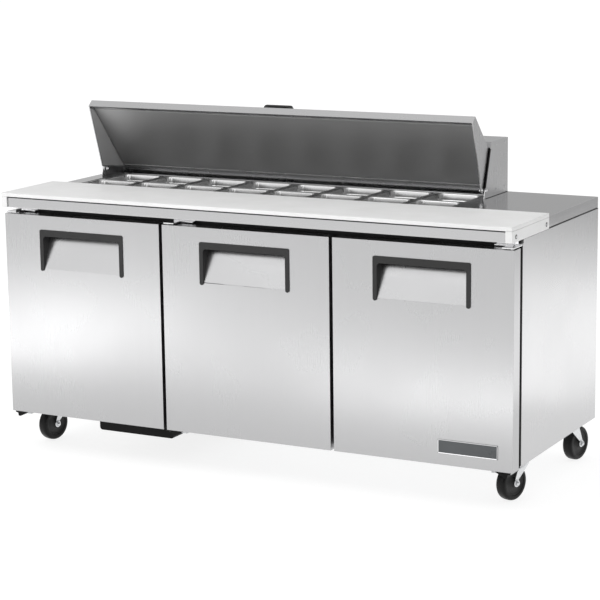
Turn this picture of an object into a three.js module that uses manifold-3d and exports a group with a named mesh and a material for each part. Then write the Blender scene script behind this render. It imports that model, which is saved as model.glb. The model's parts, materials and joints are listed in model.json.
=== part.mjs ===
// A three-door refrigerated sandwich prep table on casters: insulated cabinet, pan rail under a
// tilting lid, full-length cutting board, shelves inside and a slide-in refrigeration unit.
// Millimetres. X runs along the length, Y towards the back, Z up from the floor. The origin is
// on the floor, under the middle of the cabinet.
import * as THREE from "three";
import { mergeVertices } from "three/addons/utils/BufferGeometryUtils.js";
import Module from "manifold-3d";

const wasm = await Module();
wasm.setup();

// ---------------------------------------------------------------- driving dimensions
const GAP = 0.3; // between two pieces that touch
const LENGTH = 1839;
const HALF_LENGTH = LENGTH / 2;
const FRONT = -383;
const BACK = 383;

const BODY_HALF = 914; // outer faces of the side panels
const BODY_FRONT = -290;
const BODY_BACK = 380;
const BODY_BOTTOM = 134;
const BODY_TOP = 839;
const SKIN = 1.5; // stainless sheet
const INSULATION = 46;

const WORKTOP_HALF = 912;
const WORKTOP_FRONT = -377;
const WORKTOP_BOTTOM = 841.5;
const WORKTOP_TOP = 877.3;

const BOARD_BACK = -80;
const BOARD_THICKNESS = 12.7;
const BRACKET_WIDTH = 22;
const BRACKET_PLATE = 7;

const DOOR_WIDTH = 605;
const DOOR_GAP = 12;
const DOOR_HEIGHT = 684;
const DOOR_THICKNESS = 49;
const DOOR_FRONT = -364;
const GASKET_DEPTH = 22.5;
const GASKET_WIDTH = 24;
const GASKET_INSET = 8;
const HINGE_INSET = 14; // hinge axis from the door's edge
const HINGE_DEPTH = 16; // and behind its front face
const HINGE_PIN_RADIUS = 5;

const HANDLE_WIDTH = 326;
const HANDLE_TOP = 637; // above the door's bottom edge
const HANDLE_HEIGHT = 140;
const HANDLE_BAR = 22;
const HANDLE_LEG = 14;
const HANDLE_POCKET_DEPTH = 38;

const PAN_COLUMNS = 8;
const PAN_PITCH_X = 176;
const PAN_PITCH_Y = 167;
const PAN_OPENING = { x0: -850, y0: -54 };
const PAN_BAR = 12;
const PAN_DEPTH = 100;
const PAN_SHEET = 1.2;
const LEDGE_DROP = 9.3; // pan ledge below the worktop's face

const HOOD = { x0: -884, x1: 594, footY: 179, topY: 240, top: 1059.4, lipBottom: 1040 };
const HOOD_SHEET = 2;
const LID_SIDE_GAP = 6; // from the hood's outer face to the lid's
const LID_SIDE = 4;
const LID_PIVOT = { y: 195, z: 903 };
const LID_PIN_RADIUS = 4;

const CASTER_X = 860;
const CASTER_FRONT_Y = -168;
const CASTER_REAR_Y = 289;
const CASTER_TRAIL = 35;
const CASTER_TURN = { front_left: -12, front_right: -18, rear_left: -8, rear_right: -12 }; // degrees
const WHEEL_RADIUS = 57;
const WHEEL_WIDTH = 34;
const AXLE_RADIUS = 5;

const MACHINE = { x0: -600, x1: -250, y0: 120, top: 403 }; // machine compartment
const GLAND = { x: -560, z: 147, radius: 10, bore: 6, depth: 10 }; // mains lead's way out
const TRAY = { x0: -588, x1: -298, y0: -330, bottom: 95 };

const SECTIONS = [
  { name: "left", x0: -865, x1: -336 },
  { name: "centre", x0: -288, x1: 276 },
  { name: "right", x0: 324, x1: 865 },
];
const SHELF_FRONT = -222;
const SHELVES = [
  { z: 275, back: 75 },
  { z: 515, back: 212 },
];
const WIRE = 4;
const SHELF_WIRES = 14;

// ---------------------------------------------------------------- materials
const stainless = new THREE.MeshStandardMaterial({ color: 0xc4c6c8, roughness: 0.32, metalness: 1 });
const galvanised = new THREE.MeshStandardMaterial({ color: 0x9fa4a6, roughness: 0.5, metalness: 1 });
const lining = new THREE.MeshStandardMaterial({ color: 0xd9dcdd, roughness: 0.5, metalness: 0.4 });
const polyethylene = new THREE.MeshStandardMaterial({ color: 0xf2f2ee, roughness: 0.55 });
const blackPlastic = new THREE.MeshStandardMaterial({ color: 0x2b2b2c, roughness: 0.5 });
const rubber = new THREE.MeshStandardMaterial({ color: 0x161616, roughness: 0.8 });
const chrome = new THREE.MeshStandardMaterial({ color: 0xdddddd, roughness: 0.12, metalness: 1 });
const zinc = new THREE.MeshStandardMaterial({ color: 0xb9bdc0, roughness: 0.35, metalness: 1 });
const darkLiner = new THREE.MeshStandardMaterial({ color: 0x55575a, roughness: 0.3, metalness: 1 });
const coatedWire = new THREE.MeshStandardMaterial({ color: 0xe9ebea, roughness: 0.4 });
const blackSteel = new THREE.MeshStandardMaterial({ color: 0x1b1b1c, roughness: 0.45, metalness: 0.3 });
const aluminium = new THREE.MeshStandardMaterial({ color: 0xc9ccd0, roughness: 0.4, metalness: 1 });

// ---------------------------------------------------------------- shapes
const box = (x0, x1, y0, y1, z0, z1) =>
  new THREE.BoxGeometry(x1 - x0, y1 - y0, z1 - z0).translate((x0 + x1) / 2, (y0 + y1) / 2, (z0 + z1) / 2);

const outline = (points) => new THREE.Shape(points.map(([u, v]) => new THREE.Vector2(u, v)));

const extruded = (shape, depth, curveSegments = 5) =>
  new THREE.ExtrudeGeometry(shape, { depth, bevelEnabled: false, curveSegments });

// A [y, z] outline carried along X, an [x, z] outline along Y, and an [x, y] outline along Z.
const alongX = (shape, x0, x1) =>
  extruded(shape, x1 - x0).applyMatrix4(
    new THREE.Matrix4().set(0, 0, 1, x0, 1, 0, 0, 0, 0, 1, 0, 0, 0, 0, 0, 1),
  );
const alongY = (shape, y0, y1) =>
  extruded(shape, y1 - y0).applyMatrix4(
    new THREE.Matrix4().set(1, 0, 0, 0, 0, 0, -1, y1, 0, 1, 0, 0, 0, 0, 0, 1),
  );
const alongZ = (shape, z0, z1) => extruded(shape, z1 - z0).translate(0, 0, z0);

// A round bar from one point along an axis, "x", "y" or "z".
function bar(axis, radius, length, [x, y, z], sides = 16) {
  const g = new THREE.CylinderGeometry(radius, radius, length, sides).translate(0, length / 2, 0);
  if (axis === "x") g.rotateZ(-Math.PI / 2);
  if (axis === "z") g.rotateX(Math.PI / 2);
  return g.translate(x, y, z);
}

function solid(piece) {
  if (!piece.isBufferGeometry) return piece;
  const bare = piece.clone();
  bare.deleteAttribute("normal");
  bare.deleteAttribute("uv");
  const merged = mergeVertices(bare, 1e-4);
  return new wasm.Manifold(
    new wasm.Mesh({
      numProp: 3,
      vertProperties: merged.attributes.position.array,
      triVerts: new Uint32Array(merged.index.array),
    }),
  );
}

const join = (pieces) => pieces.map(solid).reduce((all, piece) => all.add(piece));
const cut = (body, tools) => tools.map(solid).reduce((left, tool) => left.subtract(tool), solid(body));

function geometry(shape) {
  if (shape.isBufferGeometry) return shape;
  const mesh = shape.getMesh();
  return new THREE.BufferGeometry()
    .setAttribute("position", new THREE.BufferAttribute(new Float32Array(mesh.vertProperties), 3))
    .setIndex(new THREE.BufferAttribute(new Uint32Array(mesh.triVerts), 1));
}

function add(group, name, shape, material) {
  const mesh = new THREE.Mesh(geometry(shape), material);
  mesh.name = name;
  group.add(mesh);
}

function groupAt(parent, x, y, z) {
  const group = new THREE.Group();
  group.position.set(x, y, z);
  parent.add(group);
  return group;
}

function roundedRing(width, depth, radius, z, steps = 2) {
  const ring = [];
  for (const [sx, sy, start] of [[1, 1, 0], [-1, 1, 90], [-1, -1, 180], [1, -1, 270]])
    for (let k = 0; k <= steps; k++) {
      const angle = THREE.MathUtils.degToRad(start + (90 * k) / steps);
      ring.push([
        sx * (width / 2 - radius) + radius * Math.cos(angle),
        sy * (depth / 2 - radius) + radius * Math.sin(angle),
        z,
      ]);
    }
  return ring;
}

// A closed skin over a chain of rings with the same number of points, capped at both ends.
function lofted(rings) {
  const count = rings[0].length;
  const triangles = [];
  for (let r = 0; r + 1 < rings.length; r++)
    for (let i = 0; i < count; i++) {
      const a = r * count + i;
      const b = r * count + ((i + 1) % count);
      triangles.push(a, b, b + count, a, b + count, a + count);
    }
  for (let i = 1; i + 1 < count; i++) {
    const last = (rings.length - 1) * count;
    triangles.push(0, i + 1, i, last, last + i, last + i + 1);
  }
  return new THREE.BufferGeometry()
    .setAttribute("position", new THREE.BufferAttribute(new Float32Array(rings.flat(2)), 3))
    .setIndex(triangles);
}

// ---------------------------------------------------------------- cabinet
const table = new THREE.Group();

const outerShell = () =>
  cut(
    alongZ(
      outline([
        [-BODY_HALF, BODY_FRONT],
        [-BODY_HALF + SKIN, BODY_FRONT],
        [-BODY_HALF + SKIN, BODY_BACK - SKIN],
        [BODY_HALF - SKIN, BODY_BACK - SKIN],
        [BODY_HALF - SKIN, BODY_FRONT],
        [BODY_HALF, BODY_FRONT],
        [BODY_HALF, BODY_BACK],
        [-BODY_HALF, BODY_BACK],
      ]),
      BODY_BOTTOM,
      BODY_TOP,
    ),
    [box(MACHINE.x0, MACHINE.x1, BODY_BACK - 5, BODY_BACK + 5, BODY_BOTTOM - 5, MACHINE.top)],
  );

const hingeX = (side, edge) => edge + (side === "left" ? HINGE_INSET : -HINGE_INSET);
const doorX = (index) => -HALF_LENGTH + index * (DOOR_WIDTH + DOOR_GAP);
const DOORS = [
  { name: "left", hinge: "left" },
  { name: "centre", hinge: "left" },
  { name: "right", hinge: "right" },
].map((door, index) => {
  const x0 = doorX(index);
  const edge = door.hinge === "left" ? x0 : x0 + DOOR_WIDTH;
  return { ...door, x0, pivotX: hingeX(door.hinge, edge) };
});

// Bottom pan of the cabinet with the caster plates and the three lower hinge lugs.
function baseFrame() {
  const inside = BODY_HALF - SKIN - GAP;
  const rear = BODY_BACK - SKIN - GAP;
  const pieces = [box(-inside, inside, BODY_FRONT + 2, rear, BODY_BOTTOM, BODY_BOTTOM + 3)];
  for (const x of [-CASTER_X, CASTER_X])
    for (const y of [CASTER_FRONT_Y, CASTER_REAR_Y])
      pieces.push(box(x - 45, x + 45, y - 45, y + 45, BODY_BOTTOM - 3, BODY_BOTTOM + 1));
  for (const door of DOORS) {
    const x = door.pivotX;
    const inward = door.hinge === "left" ? 1 : -1;
    const [a, b] = [x - inward * 6.5, x + inward * 58].sort((p, q) => p - q);
    pieces.push(box(a, b, DOOR_FRONT + 6, BODY_FRONT + 50, BODY_BOTTOM - 6.5, BODY_BOTTOM - 2));
    pieces.push(box(a, b, BODY_FRONT + 4, BODY_FRONT + 50, BODY_BOTTOM - 3, BODY_BOTTOM + 1));
    pieces.push(bar("z", HINGE_PIN_RADIUS, 20, [x, DOOR_FRONT + HINGE_DEPTH, BODY_BOTTOM - 4]));
  }
  return cut(join(pieces), [
    box(MACHINE.x0, MACHINE.x1, MACHINE.y0, BODY_BACK + 5, BODY_BOTTOM - 5, BODY_BOTTOM + 8),
  ]);
}

// Foamed body: one cold chamber, open to the front and up to the pan rail, with a raised
// insulated box at the back left that makes room for the machine compartment under it.
function insulatedLiner() {
  const side = BODY_HALF - SKIN - GAP;
  const back = BODY_BACK - SKIN - GAP;
  const bottom = BODY_BOTTOM + 3 + GAP;
  const floor = bottom + INSULATION - 3;
  const chamber = box(
    SECTIONS[0].x0, SECTIONS[2].x1, BODY_FRONT - 10, back - INSULATION, floor, BODY_TOP + 10,
  );
  const step = box(
    MACHINE.x0 - 35, MACHINE.x1 + 35, MACHINE.y0 - 35, back, bottom, MACHINE.top + 35,
  );
  const machine = box(MACHINE.x0, MACHINE.x1, MACHINE.y0, back + 10, bottom - 10, MACHINE.top);
  const body = cut(box(-side, side, BODY_FRONT + 5, back, bottom, BODY_TOP + 2), [chamber]);
  return cut(join([body, step]), [machine]);
}

// Face frame between the side panels, with the two mullions that the doors close against.
function frontFrame() {
  const side = BODY_HALF - SKIN - GAP;
  const bottom = BODY_BOTTOM + 3 + GAP;
  const openings = SECTIONS.map((s) =>
    box(s.x0 + (s.name === "left" ? 1 : 0), s.x1 - (s.name === "right" ? 1 : 0),
      BODY_FRONT - 5, BODY_FRONT + 80, bottom + INSULATION - 2, BODY_TOP - 40),
  );
  const plate = box(-side, side, BODY_FRONT, BODY_FRONT + 4.7, bottom, BODY_TOP + 2);
  const mullions = [0, 1].map((i) =>
    box(SECTIONS[i].x1 + 2, SECTIONS[i + 1].x0 - 2, BODY_FRONT, BODY_FRONT + 58,
      bottom + INSULATION - 3 + GAP, BODY_TOP + 2),
  );
  const header = box(
    SECTIONS[0].x0 + 1, SECTIONS[2].x1 - 1, BODY_FRONT, BODY_FRONT + 30, BODY_TOP - 40, BODY_TOP + 2,
  );
  return join([cut(plate, openings), ...mullions, header]);
}

// Chrome upper hinge leaf on the header, with its pin down into the door.
function topHinge(door) {
  const x = door.pivotX;
  const inward = door.hinge === "left" ? 1 : -1;
  const [a, b] = [x - inward * 10, x + inward * 72].sort((p, q) => p - q);
  const leaf = BODY_BOTTOM + DOOR_HEIGHT + 3;
  const tail = x + inward * 28;
  const [c, d] = [x - inward * 10, tail].sort((p, q) => p - q);
  return join([
    box(a, b, BODY_FRONT - 4, BODY_FRONT - GAP, leaf, leaf + 16),
    box(a, b, BODY_FRONT - 22, BODY_FRONT - 2, leaf, leaf + 4),
    box(c, d, DOOR_FRONT + 4, BODY_FRONT - 2, leaf, leaf + 4),
    bar("z", HINGE_PIN_RADIUS, 18, [x, DOOR_FRONT + HINGE_DEPTH, leaf - 15]),
  ]);
}

// ---------------------------------------------------------------- doors
const POCKET_HALF = HANDLE_WIDTH / 2 - HANDLE_LEG + 2;

// The finger pocket's section, [y, z] from the door's front bottom edge: its back wall leans
// in towards the top, and it runs up behind the grip bar.
const pocketSection = (inset) =>
  outline([
    [-2, HANDLE_TOP - HANDLE_HEIGHT + 2 + 1.6 * inset],
    [HANDLE_POCKET_DEPTH - inset, HANDLE_TOP - HANDLE_BAR],
    [HANDLE_POCKET_DEPTH - inset, HANDLE_TOP - 5 - inset],
    [-2, HANDLE_TOP - 5 - inset],
  ]);

function doorPanel(door) {
  const pivot = door.pivotX - door.x0;
  const middle = DOOR_WIDTH / 2;
  return cut(box(0, DOOR_WIDTH, 0, DOOR_THICKNESS, 0, DOOR_HEIGHT), [
    alongX(pocketSection(0), middle - POCKET_HALF - GAP, middle + POCKET_HALF + GAP),
    bar("z", HINGE_PIN_RADIUS + 0.6, 24, [pivot, HINGE_DEPTH, -4]),
    bar("z", HINGE_PIN_RADIUS + 0.6, 24, [pivot, HINGE_DEPTH, DOOR_HEIGHT - 20]),
  ]);
}

function doorGasket() {
  const y0 = DOOR_THICKNESS + GAP;
  const outer = box(GASKET_INSET, DOOR_WIDTH - GASKET_INSET, y0, y0 + GASKET_DEPTH,
    GASKET_INSET, DOOR_HEIGHT - GASKET_INSET);
  const inset = GASKET_INSET + GASKET_WIDTH;
  return cut(outer, [
    box(inset, DOOR_WIDTH - inset, y0 - 5, y0 + GASKET_DEPTH + 5, inset, DOOR_HEIGHT - inset),
  ]);
}

// Inverted U of moulded plastic on the door's face, with cheeks and a roof lining the pocket.
function doorHandle() {
  const middle = DOOR_WIDTH / 2;
  const half = HANDLE_WIDTH / 2;
  const inner = half - HANDLE_LEG;
  const top = HANDLE_TOP;
  const bottom = HANDLE_TOP - HANDLE_HEIGHT;
  const leg = HANDLE_LEG / 2;
  const u = new THREE.Shape();
  u.moveTo(-half, bottom + leg);
  u.absarc(-half + leg, bottom + leg, leg, Math.PI, 2 * Math.PI, false);
  u.lineTo(-inner, top - HANDLE_BAR - 10);
  u.absarc(-inner + 10, top - HANDLE_BAR - 10, 10, Math.PI, Math.PI / 2, true);
  u.absarc(inner - 10, top - HANDLE_BAR - 10, 10, Math.PI / 2, 0, true);
  u.lineTo(inner, bottom + leg);
  u.absarc(half - leg, bottom + leg, leg, Math.PI, 2 * Math.PI, false);
  u.lineTo(half, top - 6);
  u.absarc(half - 6, top - 6, 6, 0, Math.PI / 2, false);
  u.absarc(-half + 6, top - 6, 6, Math.PI / 2, Math.PI, false);
  const cheek = (x0, x1) => alongX(pocketSection(GAP), x0, x1);
  const parts = join([
    alongY(u, -3, -GAP),
    box(-POCKET_HALF, POCKET_HALF, -2, 8, top - HANDLE_BAR + 1, top - 5 - GAP),
    box(-POCKET_HALF, POCKET_HALF, 0, HANDLE_POCKET_DEPTH - 1, top - 8, top - 5 - GAP),
    cheek(-POCKET_HALF, -inner),
    cheek(inner, POCKET_HALF),
  ]);
  return parts.translate([middle, 0, 0]);
}

function badgePlate() {
  return box(DOOR_WIDTH - 247, DOOR_WIDTH - 49, -2, -GAP, 37, 81);
}

function addDoor(door) {
  const group = groupAt(table, door.x0, DOOR_FRONT, BODY_BOTTOM);
  add(group, `${door.name}_door_panel`, doorPanel(door), stainless);
  add(group, `${door.name}_door_gasket`, doorGasket(), rubber);
  add(group, `${door.name}_door_handle`, doorHandle(), blackPlastic);
  if (door.name === "right") add(group, "badge_plate", badgePlate(), chrome);
}

// ---------------------------------------------------------------- worktop, board and pans
const openingX1 = PAN_OPENING.x0 + PAN_COLUMNS * PAN_PITCH_X;
const openingY1 = PAN_OPENING.y0 + 2 * PAN_PITCH_Y;
const ledge = PAN_BAR / 2;

function worktop() {
  const { x0, y0 } = PAN_OPENING;
  return cut(box(-WORKTOP_HALF, WORKTOP_HALF, WORKTOP_FRONT, BACK, WORKTOP_BOTTOM, WORKTOP_TOP), [
    box(x0, openingX1, y0, openingY1, WORKTOP_TOP - LEDGE_DROP, WORKTOP_TOP + 5),
    box(x0 + ledge, openingX1 - ledge, y0 + ledge, openingY1 - ledge, WORKTOP_BOTTOM - 5, WORKTOP_TOP),
  ]);
}

function boardBracket(side) {
  const outer = side * HALF_LENGTH;
  const plate = side * (HALF_LENGTH - BRACKET_PLATE + GAP);
  const wrap = side * (HALF_LENGTH - BRACKET_WIDTH);
  const slab = (a, b, y0, y1) =>
    box(Math.min(a, b), Math.max(a, b), y0, y1, WORKTOP_BOTTOM, WORKTOP_TOP);
  return join([slab(outer, plate, FRONT, BOARD_BACK), slab(outer, wrap, FRONT, WORKTOP_FRONT - GAP)]);
}

function cuttingBoard() {
  const z = WORKTOP_TOP + GAP;
  return box(-HALF_LENGTH, HALF_LENGTH, FRONT, BOARD_BACK, z, z + BOARD_THICKNESS);
}

// Bars that carry the pan rims, lying on the ledge of the worktop's opening.
function panDividerFrame() {
  const { x0, y0 } = PAN_OPENING;
  const z0 = WORKTOP_TOP - LEDGE_DROP + GAP;
  const cells = [];
  for (let i = 0; i < PAN_COLUMNS; i++)
    for (let j = 0; j < 2; j++) {
      const x = x0 + i * PAN_PITCH_X;
      const y = y0 + j * PAN_PITCH_Y;
      const [x1, y1] = [x + PAN_PITCH_X - ledge, y + PAN_PITCH_Y - ledge];
      cells.push(box(x + ledge, x1, y + ledge, y1, z0 - 5, z0 + 10));
    }
  return cut(box(x0 + GAP, openingX1 - GAP, y0 + GAP, openingY1 - GAP, z0, z0 + 5.7), cells);
}

const PAN_SEAT = WORKTOP_TOP - LEDGE_DROP + GAP + 5.7 + GAP;

// A gastronorm-style pan with a flat rim, its seat plane at z = 0.
function pan(rimWidth, rimDepth) {
  const mouth = [PAN_PITCH_X - PAN_BAR - 2, PAN_PITCH_Y - PAN_BAR - 2];
  const foot = [mouth[0] - 14, mouth[1] - 14];
  const t = 2 * PAN_SHEET;
  return lofted([
    roundedRing(foot[0], foot[1], 20, -PAN_DEPTH),
    roundedRing(mouth[0], mouth[1], 24, 0),
    roundedRing(rimWidth, rimDepth, 6, 0),
    roundedRing(rimWidth, rimDepth, 6, 1.5),
    roundedRing(mouth[0] - t, mouth[1] - t, 23, 1.5),
    roundedRing(foot[0] - t, foot[1] - t, 19, -PAN_DEPTH + PAN_SHEET),
  ]);
}

const panX = (column) => PAN_OPENING.x0 + (column + 0.5) * PAN_PITCH_X;

function addPans() {
  for (let column = 0; column < PAN_COLUMNS; column++) {
    const group = groupAt(table, panX(column), PAN_OPENING.y0 + PAN_PITCH_Y / 2, PAN_SEAT);
    add(group, `front_pan_${column + 1}`, pan(PAN_PITCH_X - 2, PAN_PITCH_Y - 2), stainless);
  }
  const bank = groupAt(table, 0, PAN_OPENING.y0 + 1.5 * PAN_PITCH_Y, PAN_SEAT);
  const pans = [];
  for (let column = 0; column < PAN_COLUMNS; column++)
    pans.push(solid(pan(PAN_PITCH_X - 2, PAN_PITCH_Y - 2)).translate([panX(column), 0, 0]));
  for (let column = 1; column < PAN_COLUMNS; column++) {
    const x = PAN_OPENING.x0 + column * PAN_PITCH_X;
    pans.push(box(x - 2, x + 2, 8 - PAN_PITCH_Y / 2, PAN_PITCH_Y / 2 - 8, 0, 1.5));
  }
  add(bank, "rear_pan_bank", join(pans), stainless);
}

// ---------------------------------------------------------------- hood and lid
const hoodFrontY = (z) =>
  HOOD.footY + ((HOOD.topY - HOOD.footY) * (z - WORKTOP_TOP)) / (HOOD.top - WORKTOP_TOP);

function hoodShell() {
  const foot = WORKTOP_TOP + GAP;
  const outer = outline([
    [HOOD.footY, foot],
    [BACK, foot],
    [BACK, HOOD.top],
    [HOOD.topY, HOOD.top],
  ]);
  const lip = hoodFrontY(HOOD.lipBottom);
  const inner = outline([
    [100, foot - 10],
    [BACK - HOOD_SHEET, foot - 10],
    [BACK - HOOD_SHEET, HOOD.top - HOOD_SHEET],
    [HOOD.topY + HOOD_SHEET, HOOD.top - HOOD_SHEET],
    [lip + HOOD_SHEET, HOOD.lipBottom],
    [100, HOOD.lipBottom],
  ]);
  const pinHoles = bar("x", LID_PIN_RADIUS + 0.4, HOOD.x1 - HOOD.x0 + 20,
    [HOOD.x0 - 10, LID_PIVOT.y, LID_PIVOT.z]);
  return cut(alongX(outer, HOOD.x0, HOOD.x1), [
    alongX(inner, HOOD.x0 + HOOD_SHEET, HOOD.x1 - HOOD_SHEET),
    pinHoles,
  ]);
}

// The lid's section when open, [y, z]: front lip, outer face, rear flange and liner plane.
const LID = {
  lipFoot: [98, 1135],
  lipTop: [119.8, 1154],
  rearTop: [324, 938],
  rearFoot: [328, 883.5],
  linerRear: [320, 893],
  linerFront: [128, 1125],
  kink: [171, 913],
};
const lidX0 = HOOD.x0 + LID_SIDE_GAP;
const lidX1 = HOOD.x1 - LID_SIDE_GAP;
const lidOuterSlope = Math.atan2(LID.rearTop[1] - LID.lipTop[1], LID.rearTop[0] - LID.lipTop[0]);
const linerAngle = Math.atan2(LID.linerRear[1] - LID.linerFront[1], LID.linerRear[0] - LID.linerFront[0]);
const linerLength = Math.hypot(
  LID.linerRear[0] - LID.linerFront[0], LID.linerRear[1] - LID.linerFront[1],
);

// A box laid along the liner plane: s runs down the plane from its front edge, n out of it
// towards the pans.
function onLiner(s0, s1, n0, n1, x0, x1) {
  const [y, z] = LID.linerFront;
  const along = [Math.cos(linerAngle), Math.sin(linerAngle)];
  const normal = [along[1], -along[0]];
  const at = (s, n) => [y + s * along[0] + n * normal[0], z + s * along[1] + n * normal[1]];
  return alongX(outline([at(s0, n0), at(s0, n1), at(s1, n1), at(s1, n0)].reverse()), x0, x1);
}

function lidShell() {
  const core = outline([
    LID.lipFoot, LID.linerFront, LID.linerRear, LID.rearFoot, LID.rearTop, LID.lipTop,
  ]);
  const cheek = outline([
    LID.lipFoot, LID.kink, [318, 894], LID.rearFoot, LID.rearTop, LID.lipTop,
  ]);
  const sides = [
    [lidX0, lidX0 + LID_SIDE],
    [lidX1 - LID_SIDE, lidX1],
  ].flatMap(([x0, x1]) => [
    alongX(cheek, x0, x1),
    bar("x", 13, x1 - x0, [x0, LID_PIVOT.y, LID_PIVOT.z], 24),
  ]);
  const pinHoles = bar("x", LID_PIN_RADIUS + 0.4, lidX1 - lidX0 + 20,
    [lidX0 - 10, LID_PIVOT.y, LID_PIVOT.z]);
  return cut(join([alongX(core, lidX0, lidX1), ...sides]), [pinHoles]);
}

const lidLiner = () =>
  onLiner(2, linerLength - 4, GAP, 2, lidX0 + LID_SIDE + 1, lidX1 - LID_SIDE - 1);

// Bridge handle on the outer face, just behind the front edge.
function lidHandle() {
  const arch = new THREE.Shape();
  arch.moveTo(-57, 0);
  arch.lineTo(-54, 22);
  arch.quadraticCurveTo(-52, 28, -44, 28);
  arch.lineTo(44, 28);
  arch.quadraticCurveTo(52, 28, 54, 22);
  arch.lineTo(57, 0);
  arch.lineTo(42, 0);
  arch.quadraticCurveTo(41, 20, 34, 20);
  arch.lineTo(-34, 20);
  arch.quadraticCurveTo(-41, 20, -42, 0);
  const handle = extruded(arch, 18, 4);
  const along = new THREE.Vector3(0, Math.cos(lidOuterSlope), Math.sin(lidOuterSlope));
  const out = new THREE.Vector3(0, -along.z, along.y);
  const right = new THREE.Vector3(1, 0, 0);
  const place = new THREE.Matrix4().makeBasis(right, out, along.clone().negate());
  const start = new THREE.Vector3(-144, LID.lipTop[0], LID.lipTop[1]);
  place.setPosition(start.addScaledVector(along, 35).addScaledVector(out, GAP));
  return handle.applyMatrix4(place);
}

function lidPin(side) {
  const outer = side > 0 ? HOOD.x1 : HOOD.x0;
  const at = (offset) => [outer + side * offset, LID_PIVOT.y, LID_PIVOT.z];
  const piece = (radius, from, to, sides) => {
    const [a, b] = [from, to].sort((p, q) => side * (p - q));
    return bar("x", radius, Math.abs(to - from), at(a), sides);
  };
  return join([
    piece(6, 3.5, GAP, 16),
    piece(LID_PIN_RADIUS, 1, -22, 16),
    piece(7, -LID_SIDE_GAP - LID_SIDE - GAP, -LID_SIDE_GAP - LID_SIDE - 8, 6),
  ]);
}

// ---------------------------------------------------------------- inside the cold chamber
function shelfRack(section) {
  const x0 = section.x0 + 3;
  const x1 = section.x1 - 3;
  const pieces = [];
  for (const x of [x0, x1 - 6])
    for (const y of [SHELF_FRONT + 30, 40]) pieces.push(box(x, x + 6, y, y + 14, 190, 760));
  for (const shelf of SHELVES) {
    const left = x0 + 1;
    const pitch = (x1 - 1 - left - WIRE) / SHELF_WIRES;
    const slots = [];
    for (let i = 0; i < SHELF_WIRES; i++) {
      const x = left + i * pitch;
      slots.push(box(x + WIRE, x + pitch, SHELF_FRONT + 6, shelf.back - 6, shelf.z - 5, shelf.z + 10));
    }
    pieces.push(cut(box(left, x1 - 1, SHELF_FRONT, shelf.back, shelf.z, shelf.z + 6), slots));
  }
  return join(pieces);
}

const EVAPORATOR = { x0: -300, x1: 300, y0: 225, bottom: 520, top: 750, fanX: 160, fanZ: 635 };
const EVAPORATOR_FAN_RADIUS = 75;

function evaporatorHousing() {
  const back = BODY_BACK - SKIN - GAP - INSULATION - GAP;
  const e = EVAPORATOR;
  return cut(box(e.x0, e.x1, e.y0, back, e.bottom, e.top), [
    box(e.x0 + 2, e.x1 - 2, e.y0 + 2, back + 5, e.bottom - 5, e.top - 2),
    bar("y", EVAPORATOR_FAN_RADIUS + 5, 20, [e.fanX, e.y0 - 10, e.fanZ], 24),
  ]);
}

function finnedCoil(x0, x1, y0, y1, z0, z1, fins) {
  const pieces = [box(x0, x1, y0 + 4, y1 - 4, z0 + 4, z1 - 4)];
  for (let i = 0; i < fins; i++) {
    const x = x0 + ((x1 - x0 - 2) * i) / (fins - 1);
    pieces.push(box(x, x + 2, y0, y1, z0, z1));
  }
  return join(pieces);
}

// Four pitched blades on a hub that turns about a Y axis, hub centre at the local origin.
function fanRotor(radius) {
  const pieces = [bar("y", 18, 22, [0, -11, 0], 16)];
  for (let i = 0; i < 4; i++) {
    const blade = new THREE.BoxGeometry(radius - 12, 2, 42);
    blade.translate((radius + 12) / 2, 0, 0);
    blade.rotateX(THREE.MathUtils.degToRad(28));
    blade.rotateY((i * Math.PI) / 2);
    pieces.push(blade);
  }
  return cut(join(pieces), [bar("y", 4.5, 16, [0, -3, 0], 12)]);
}

// Motor can with its shaft towards -Y and a cross bracket that reaches the shroud.
function fanMotor(span) {
  return join([
    bar("y", 34, 44, [0, 20, 0], 20),
    bar("y", 4, 22, [0, 0, 0], 12),
    box(-span, span, 52, 58, -9, 9),
  ]);
}

function addEvaporator() {
  const e = EVAPORATOR;
  add(table, "evaporator_housing", evaporatorHousing(), lining);
  const coil = finnedCoil(e.x0 + 12, e.fanX - 92, e.y0 + 15, 320, e.bottom + 15, e.top - 15, 13);
  add(table, "evaporator_coil", coil, aluminium);
  const motor = groupAt(table, e.fanX, e.y0 + 30, e.fanZ);
  add(motor, "evaporator_fan_motor", fanMotor(88), blackSteel);
  add(motor, "evaporator_fan", fanRotor(EVAPORATOR_FAN_RADIUS - 3), blackPlastic);
}

// ---------------------------------------------------------------- refrigeration unit
function unitTray() {
  const rim = BODY_BOTTOM - GAP;
  const radius = 10;
  const y1 = BODY_BACK - 12;
  const section = new THREE.Shape();
  section.moveTo(TRAY.x0, rim);
  section.lineTo(TRAY.x0, TRAY.bottom + radius);
  section.absarc(TRAY.x0 + radius, TRAY.bottom + radius, radius, Math.PI, 1.5 * Math.PI, false);
  section.absarc(TRAY.x1 - radius, TRAY.bottom + radius, radius, 1.5 * Math.PI, 2 * Math.PI, false);
  section.lineTo(TRAY.x1, rim);
  return cut(alongY(section, TRAY.y0, y1), [
    box(TRAY.x0 + 3, TRAY.x1 - 3, TRAY.y0 + 3, y1 - 3, TRAY.bottom + 3, rim + 5),
  ]);
}

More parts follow.
